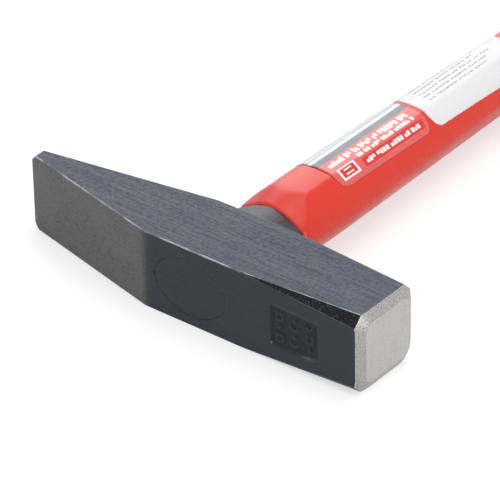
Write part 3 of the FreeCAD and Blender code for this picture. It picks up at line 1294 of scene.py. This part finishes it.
@dataclass
class Collar:
    """The dark collar of the carrier, which flares against the head and tucks under the shell's lip."""

    handle: Handle
    length: float = 8.5
    flare: float = 1.6
    lip: float = 0.35
    crease: float = 0.5
    proud: float = 0.02
    tucked: float = 0.1

    def distance(self, along: Array, x: Array, z: Array) -> Array:
        """How far points lie outside the collar.

        Args:
            along: places along the handle.
            x: places across it.
            z: places through it, from the middle.

        Returns:
            Distances, below zero inside.
        """
        share = np.clip((along - self.handle.head_half) / self.length, 0, 1)
        grown = self.flare * np.sqrt(1 - share) - self.lip
        thickness, width = self.handle.neck_half_thickness + grown, self.handle.neck_half_width + grown
        section = Section(thickness, width, *self.handle.neck_facets)
        return section.distance(x, z, self.crease)

    def dress(self, nodes: dict[str, Piece]) -> None:
        """Builds the collar over the carrier's own, and gives both their dark plastic.

        Args:
            nodes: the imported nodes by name.
        """
        start = self.handle.head_half
        along = start + np.array([0.0, 0.1, 0.3, 0.7, *np.linspace(1.2, self.length - 0.02, 22)])
        grow = np.where(along < start + 0.2, -self.tucked, self.proud)[:, None]
        rings = self.handle.rings(along, angles_round(self.handle), self.distance, grow)
        piece = skin("collar_moulding", rings)
        dusty = (0.055, 0.058, 0.07)
        plastic = MouldedPlastic("collar_grey", (0.022, 0.024, 0.03), dusty, 0.4, 1.0, 0.08).material()
        dress(piece, plastic)
        carry(piece, "carrier_plastic")
        dress(nodes["carrier"], plastic)


@dataclass
class Grip:
    """The soft sleeve, flush at both ends, with shallow slots across its crowns."""

    handle: Handle
    slots: int = 11
    pitch: float = 8.0
    slot_width: float = 1.6
    slot_depth: float = 0.6
    slot_reach: float = 0.62
    slot_fade: float = 0.2
    slot_wall: float = 0.25
    end_dip: float = 0.3
    end_run: float = 0.15

    def places(self, centres: Array) -> Array:
        """Places of the rings along the grip, close together at its ends and over its slots.

        Args:
            centres: the middle of each slot.

        Returns:
            The places in order.
        """
        start, end = self.handle.grip_start, self.handle.grip_end
        offsets = (-1.15, -0.9, -0.75, -0.5, 0, 0.5, 0.75, 0.9, 1.15)
        near = [centre + offset for centre in centres for offset in offsets]
        coarse = [y for y in np.arange(start + 1, end, 2.0) if np.abs(centres - y).min() > 1.4]
        ends = [start, start + 0.1, start + 0.35, end - 0.35, end - 0.1, end]
        return np.array(sorted([*ends, *near, *coarse]))

    def grow(self, along: Array, angles: Array, centres: Array) -> Array:
        """How far the surface moves out from the handle's form: its slots and rounded ends.

        Args:
            along: the place of each ring.
            angles: the directions of its points.
            centres: the middle of each slot.

        Returns:
            Rings x points.
        """
        start, end = self.handle.grip_start, self.handle.grip_end
        inside = np.minimum.reduce([np.abs(along - centre) for centre in centres])
        slot = np.clip((self.slot_width / 2 + 0.1 - inside) / self.slot_wall, 0, 1)
        from_crown = np.minimum.reduce([np.abs(angles), np.abs(angles - math.pi), 2 * math.pi - angles])
        crown = np.clip((self.slot_reach - from_crown) / self.slot_fade, 0, 1)
        edge = np.minimum(along - start, end - along)
        rounding = -self.end_dip * np.exp(-((edge / self.end_run) ** 2))
        return rounding[:, None] - self.slot_depth * slot[:, None] * crown[None, :]

    def dress(self) -> None:
        """Builds the grip and gives it its rubber."""
        handle = self.handle
        middle = handle.grip_start + handle.grip_length / 2
        centres = middle + (np.arange(self.slots) - (self.slots - 1) / 2) * self.pitch
        along, angles = self.places(centres), angles_round(handle)
        rings = handle.rings(along, angles, handle.distance, self.grow(along, angles, centres))
        piece = skin("grip_sleeve", rings)
        dress(piece, SoftRubber().material())
        carry(piece, "grip_rubber", "grip")


@dataclass(frozen=True)
class Mark:
    """A printed block: where it lies along and across its label, as shares, and which ink it has."""

    along: tuple[float, float]
    across: tuple[float, float]
    ink: int


@dataclass
class Label:
    """A thin printed label that lies over the crown, the shoulders and the upper slopes."""

    handle: Handle
    name: str
    node: str
    slot: str
    start: float
    length: float
    inks: tuple[Ink, ...]
    marks: list[Mark] = field(default_factory=list)
    rim_ink: int = 0
    half_width: float = 7.15
    thickness: float = 0.12
    corner: float = 2.5
    sunk: float = 0.05
    step: float = 0.02

    def lines(self, marks: list[tuple[float, float]]) -> Array:
        """Grid lines at the edges of the printed blocks, with more between them.

        Args:
            marks: the blocks' edges, as pairs of shares.

        Returns:
            Shares in order.
        """
        fixed = sorted({0.0, 1.0, *(edge for pair in marks for edge in pair)})
        lines = [0.0]
        for before, after in zip(fixed, fixed[1:]):
            parts = max(1, math.ceil((after - before) / self.step))
            lines += [before + (after - before) * (part + 1) / parts for part in range(parts)]
        return np.array(lines)

    def points(self, along: Array, across: Array) -> Array:
        """Where the label's grid lies on the handle.

        Args:
            along: the grid's lines along the label, as shares.
            across: its lines across it.

        Returns:
            Points as rows x columns x 3, on the handle's surface.
        """
        y = self.start + self.length * along
        short = np.clip(self.corner - np.minimum(y - self.start, self.start + self.length - y), 0, None)
        half = self.half_width - self.corner + np.sqrt(np.clip(self.corner**2 - short**2, 0, None))
        x = np.clip((2 * across - 1)[None, :] * self.half_width, -half[:, None], half[:, None])
        places = np.repeat(y[:, None], len(across), axis=1)
        z = crossing(lambda height: self.handle.distance(places, x, height) > 0, x)
        return np.stack([x, places, z + self.handle.head_half], axis=-1)

    def build(self) -> Piece:
        """Builds the label as a thin closed sheet with its print laid out over it.

        Returns:
            The label.
        """
        along = self.lines([mark.along for mark in self.marks])
        across = self.lines([mark.across for mark in self.marks])
        surface = self.points(along, across)
        upper, lower = surface + [0, 0, self.thickness], surface - [0, 0, self.sunk]
        rows, columns = surface.shape[:2]
        size = rows * columns
        middles = [(values[:-1] + values[1:]) / 2 for values in (along, across)]
        inks = [self.ink_at(*middle) for middle in itertools.product(*middles)]
        numbers = np.arange(size).reshape(rows, columns)
        rim = [*numbers[:, 0], *numbers[-1, 1:], *numbers[-2::-1, -1], *numbers[0, -2:0:-1]]
        faces = [(face[0], *face[:0:-1]) for face in quads(rows, columns, wrap=False)]
        faces += [(here, after, after + size, here + size) for here, after in zip(rim, rim[1:] + rim[:1])]
        # the rim faces take rim_ink, on the front label a dark painted shadow line round its edge
        inks += [int(self.rim_ink)] * len(rim)
        mesh = bpy.data.meshes.new(self.name)
        points = np.concatenate([upper.reshape(-1, 3), lower.reshape(-1, 3)])
        mesh.from_pydata((points * MM).tolist(), [], [tuple(map(int, face)) for face in faces])
        mesh.polygons.foreach_set("material_index", inks)
        mesh.shade_smooth()
        sheet = bmesh.new()
        sheet.from_mesh(mesh)
        bmesh.ops.remove_doubles(sheet, verts=sheet.verts, dist=1e-7)
        loose = [vert for vert in sheet.verts if not vert.link_faces]
        bmesh.ops.delete(sheet, geom=loose, context="VERTS")
        sheet.to_mesh(mesh)
        sheet.free()
        return place(self.name, mesh)

    def ink_at(self, along: float, across: float) -> int:
        """The ink of the last block that covers a place on the label.

        Args:
            along: the place along the label, as a share.
            across: the place across it.

        Returns:
            The ink's number, 0 where no block lies.
        """
        ink = 0
        for mark in self.marks:
            if mark.along[0] < along < mark.along[1] and mark.across[0] < across < mark.across[1]:
                ink = int(mark.ink)
        return ink

    def dress(self) -> None:
        """Builds the label and gives it its inks."""
        piece = self.build()
        dress(piece, *(ink.material() for ink in self.inks))
        carry(piece, self.slot, self.node)


def word_row(start: float, end: float, across: tuple[float, float], ink: int, seed: int) -> list[Mark]:
    """A row of plain blocks in place of a line of print.

    Args:
        start: where the row starts, as a share of the label's length.
        end: where it ends.
        across: its two edges, as shares of the label's width.
        ink: the blocks' ink.
        seed: the row of block lengths to use.

    Returns:
        The blocks.
    """
    lengths = np.random.default_rng(SEED + seed)
    shortest, longest, gap, space, room = 0.02, 0.034, 0.005, 0.016, 0.03
    middle, past_middle = (across[0] + across[1]) / 2, 0.2 * (across[1] - across[0])
    marks = []
    at = start
    while at < end - room:
        for _ in range(lengths.integers(2, 7)):
            stop = at + lengths.uniform(shortest, longest)
            if stop > end:
                break
            kind = lengths.integers(0, 5)
            low = across[0] if kind != 1 else middle - past_middle
            high = across[1] if kind != 2 else middle + past_middle
            marks.append(Mark((at, stop), (low, high), ink))
            at = stop + gap
        at += space
    return marks


def front_label(handle: Handle) -> Label:
    """The glossy label: a pale band, a dark stripe and a red field with rows and a small framed panel.

    Args:
        handle: the handle's form.

    Returns:
        The label, ready to dress.
    """
    inks = (
        Ink("print_red", (0.78, 0.11, 0.1), 0.24), Ink("print_pale", (0.66, 0.68, 0.72), 0.24),
        Ink("print_slate", (0.12, 0.14, 0.17), 0.24), Ink("print_white", (0.88, 0.87, 0.87), 0.24),
        # the edge ink is a painted shadow line on the label's rim
        Ink("print_deep_red", (0.7, 0.02, 0.02), 0.24), Ink("label_edge_shadow", (0.16, 0.01, 0.01), 0.6),
    )
    whole = (0.0, 1.0)
    marks = [
        Mark(whole, (0.0, 0.37), Print.PALE), Mark(whole, (0.37, 0.5), Print.SLATE),
        Mark(whole, (0.27, 0.285), Print.SLATE),
        *word_row(0.06, 0.94, (0.55, 0.665), Print.WHITE, 2),
        *word_row(0.3, 0.94, (0.7, 0.775), Print.WHITE, 3),
        Mark((0.3, 0.96), (0.81, 0.93), Print.DEEP_RED),
        *word_row(0.33, 0.93, (0.84, 0.9), Print.WHITE, 4),
        Mark((0.06, 0.24), (0.75, 0.93), Print.WHITE), Mark((0.08, 0.22), (0.775, 0.905), Print.DEEP_RED),
        Mark((0.11, 0.19), (0.8, 0.82), Print.WHITE), Mark((0.11, 0.19), (0.86, 0.88), Print.WHITE),
    ]
    start, length = handle.shell_start + 16.0, 32.6
    slot = "front_label_film"
    return Label(handle, slot, "front_label", slot, start, length, inks, marks, rim_ink=Print.EDGE)


def rear_label(handle: Handle) -> Label:
    """The white paper label with plain grey rows.

    Args:
        handle: the handle's form.

    Returns:
        The label, ready to dress.
    """
    inks = (Ink("paper_white", (0.82, 0.82, 0.82), 0.5, 0.03), Ink("print_grey", (0.42, 0.43, 0.45), 0.5))
    marks = []
    for row in range(6):
        low = 0.12 + 0.1 * row
        marks += word_row(0.12, 0.85 - 0.06 * (row % 3), (low, low + 0.035), 1, 10 + row)
    start, length = handle.shell_start + 49.6, 36.0
    return Label(handle, "rear_label_sheet", "rear_label", "rear_label_paper", start, length, inks, marks)


@dataclass(frozen=True)
class Lamp:
    """A soft square lamp: where it stands, what it points at, its width in metres and its power."""

    name: str
    place: tuple[float, float, float]
    aim: tuple[float, float, float]
    width: float
    watts: float

    def build(self) -> None:
        """Adds the lamp."""
        light = bpy.data.lights.new(self.name, "AREA")
        light.shape = "RECTANGLE"
        light.size = light.size_y = self.width
        light.energy = self.watts
        lamp = place(self.name, light)
        lamp.location = self.place
        lamp.rotation_euler = (Vector(self.aim) - Vector(self.place)).to_track_quat("-Z", "Y").to_euler()


@dataclass
class Studio:
    """Pale floor, soft lamps, a white surround and the camera. Lengths are metres."""

    camera_place: tuple[float, float, float] = (0.459487, -0.553370, 0.479049)
    camera_aim: tuple[float, float, float] = (0.003238, 0.006581, 0.012000)
    lens: float = 292.94
    camera_turn: float = -1.080
    floor_half: float = 3.0
    floor_grey: float = 0.5
    floor_glow: float = 0.6
    glow_reach: tuple[float, float] = (0.6, 1.6)
    world_light: float = 0.5
    lamps: tuple[Lamp, ...] = (
        Lamp("rear_left_box", (-0.62, 0.79, 0.65), (0, 0, 0), 0.8, 5.0),
        Lamp("overhead", (0.1, 0.1, 1.1), (0, 0.05, 0), 0.8, 4.1),
        Lamp("right_panel", (0.9, -0.1, 0.4), (0, 0, 0), 0.5, 3.5),
    )

    def floor(self) -> None:
        """Lays the floor, a wide sheet that rises far behind the hammer and glows more out there."""
        half = self.floor_half
        profile = [(-half, 0.0), (2.0, 0.0), (2.5, 0.05), (2.8, 0.3), (2.9, 0.8), (2.9, 2.5)]
        rings = np.array([[(x, y, z) for x in np.linspace(-half, half, 13)] for y, z in profile]) / MM
        sheet = skin("studio_floor", rings, wrap=False, caps=False)
        shader = Shader("floor_white")
        speckle = shader.noise(40.0)
        away = shader.tree.nodes.new("ShaderNodeVectorMath")
        away.operation = "LENGTH"
        shader.put(away.inputs[0], shader.place)
        glow = shader.span(away.outputs["Value"], self.floor_glow, 1.0, *self.glow_reach)
        shader.finish(
            Base_Color=shader.shade(shader.span(speckle, 0.98, 1.0), (self.floor_grey,) * 3),
            Roughness=0.9,
            Specular_IOR_Level=0.1,
            Emission_Color=WHITE,
            Emission_Strength=shader.times(seen_share(shader.tree), glow),
        )
        dress(sheet, shader.material)

    def world(self) -> None:
        """Sets a white surround, seen at full white and lit from more gently."""
        world = bpy.data.worlds.new("studio")
        world.use_nodes = True
        nodes, links = world.node_tree.nodes, world.node_tree.links
        strength = nodes.new("ShaderNodeMapRange")
        strength.inputs["To Min"].default_value = self.world_light
        strength.inputs["To Max"].default_value = 1.0
        links.new(seen_share(world.node_tree), strength.inputs["Value"])
        nodes["Background"].inputs["Color"].default_value = (*WHITE, 1.0)
        links.new(strength.outputs[0], nodes["Background"].inputs["Strength"])
        bpy.context.scene.world = world

    def camera(self) -> None:
        """Adds the camera."""
        view = bpy.data.cameras.new("camera")
        view.lens = self.lens
        view.sensor_width = 36.0
        view.clip_start, view.clip_end = 0.01, 20.0
        camera = place("camera", view)
        camera.location = self.camera_place
        aim = Vector(self.camera_aim) - Vector(self.camera_place)
        turn = Quaternion((0, 0, 1), math.radians(self.camera_turn))
        camera.rotation_euler = (aim.to_track_quat("-Z", "Y") @ turn).to_euler()
        bpy.context.scene.camera = camera

    def build(self) -> None:
        """Sets up the whole studio."""
        self.camera()
        self.floor()
        self.world()
        for lamp in self.lamps:
            lamp.build()
        bpy.context.scene.view_settings.view_transform = "Standard"
        LOG.info("studio: floor, %d lamps and camera", len(self.lamps))


def dress_inner_pieces(nodes: dict[str, Piece]) -> None:
    """Gives the pieces that lie inside the hammer their resins.

    Args:
        nodes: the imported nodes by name.
    """
    dress(nodes["eye_potting"], CastResin("potting_resin", (0.5, 0.45, 0.32)).material())
    dress(nodes["core_rod"], CastResin("rod_fibre", (0.7, 0.66, 0.5)).material())
    LOG.info("inner pieces: potting and rod")


def main(nodes: dict[str, Piece]) -> None:
    """Builds every piece in order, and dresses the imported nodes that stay.

    Args:
        nodes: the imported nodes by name.
    """
    handle = Handle()
    Studio().build()
    ForgedHead().dress(nodes)
    Collar(handle).dress(nodes)
    Shell(handle).dress()
    Grip(handle).dress()
    front_label(handle).dress()
    rear_label(handle).dress()
    dress_inner_pieces(nodes)


if __name__ == "__main__":
    logging.basicConfig(level=logging.INFO, format="%(name)s: %(message)s")
    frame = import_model()
    main(frame["nodes"])
    bpy.context.view_layer.update()
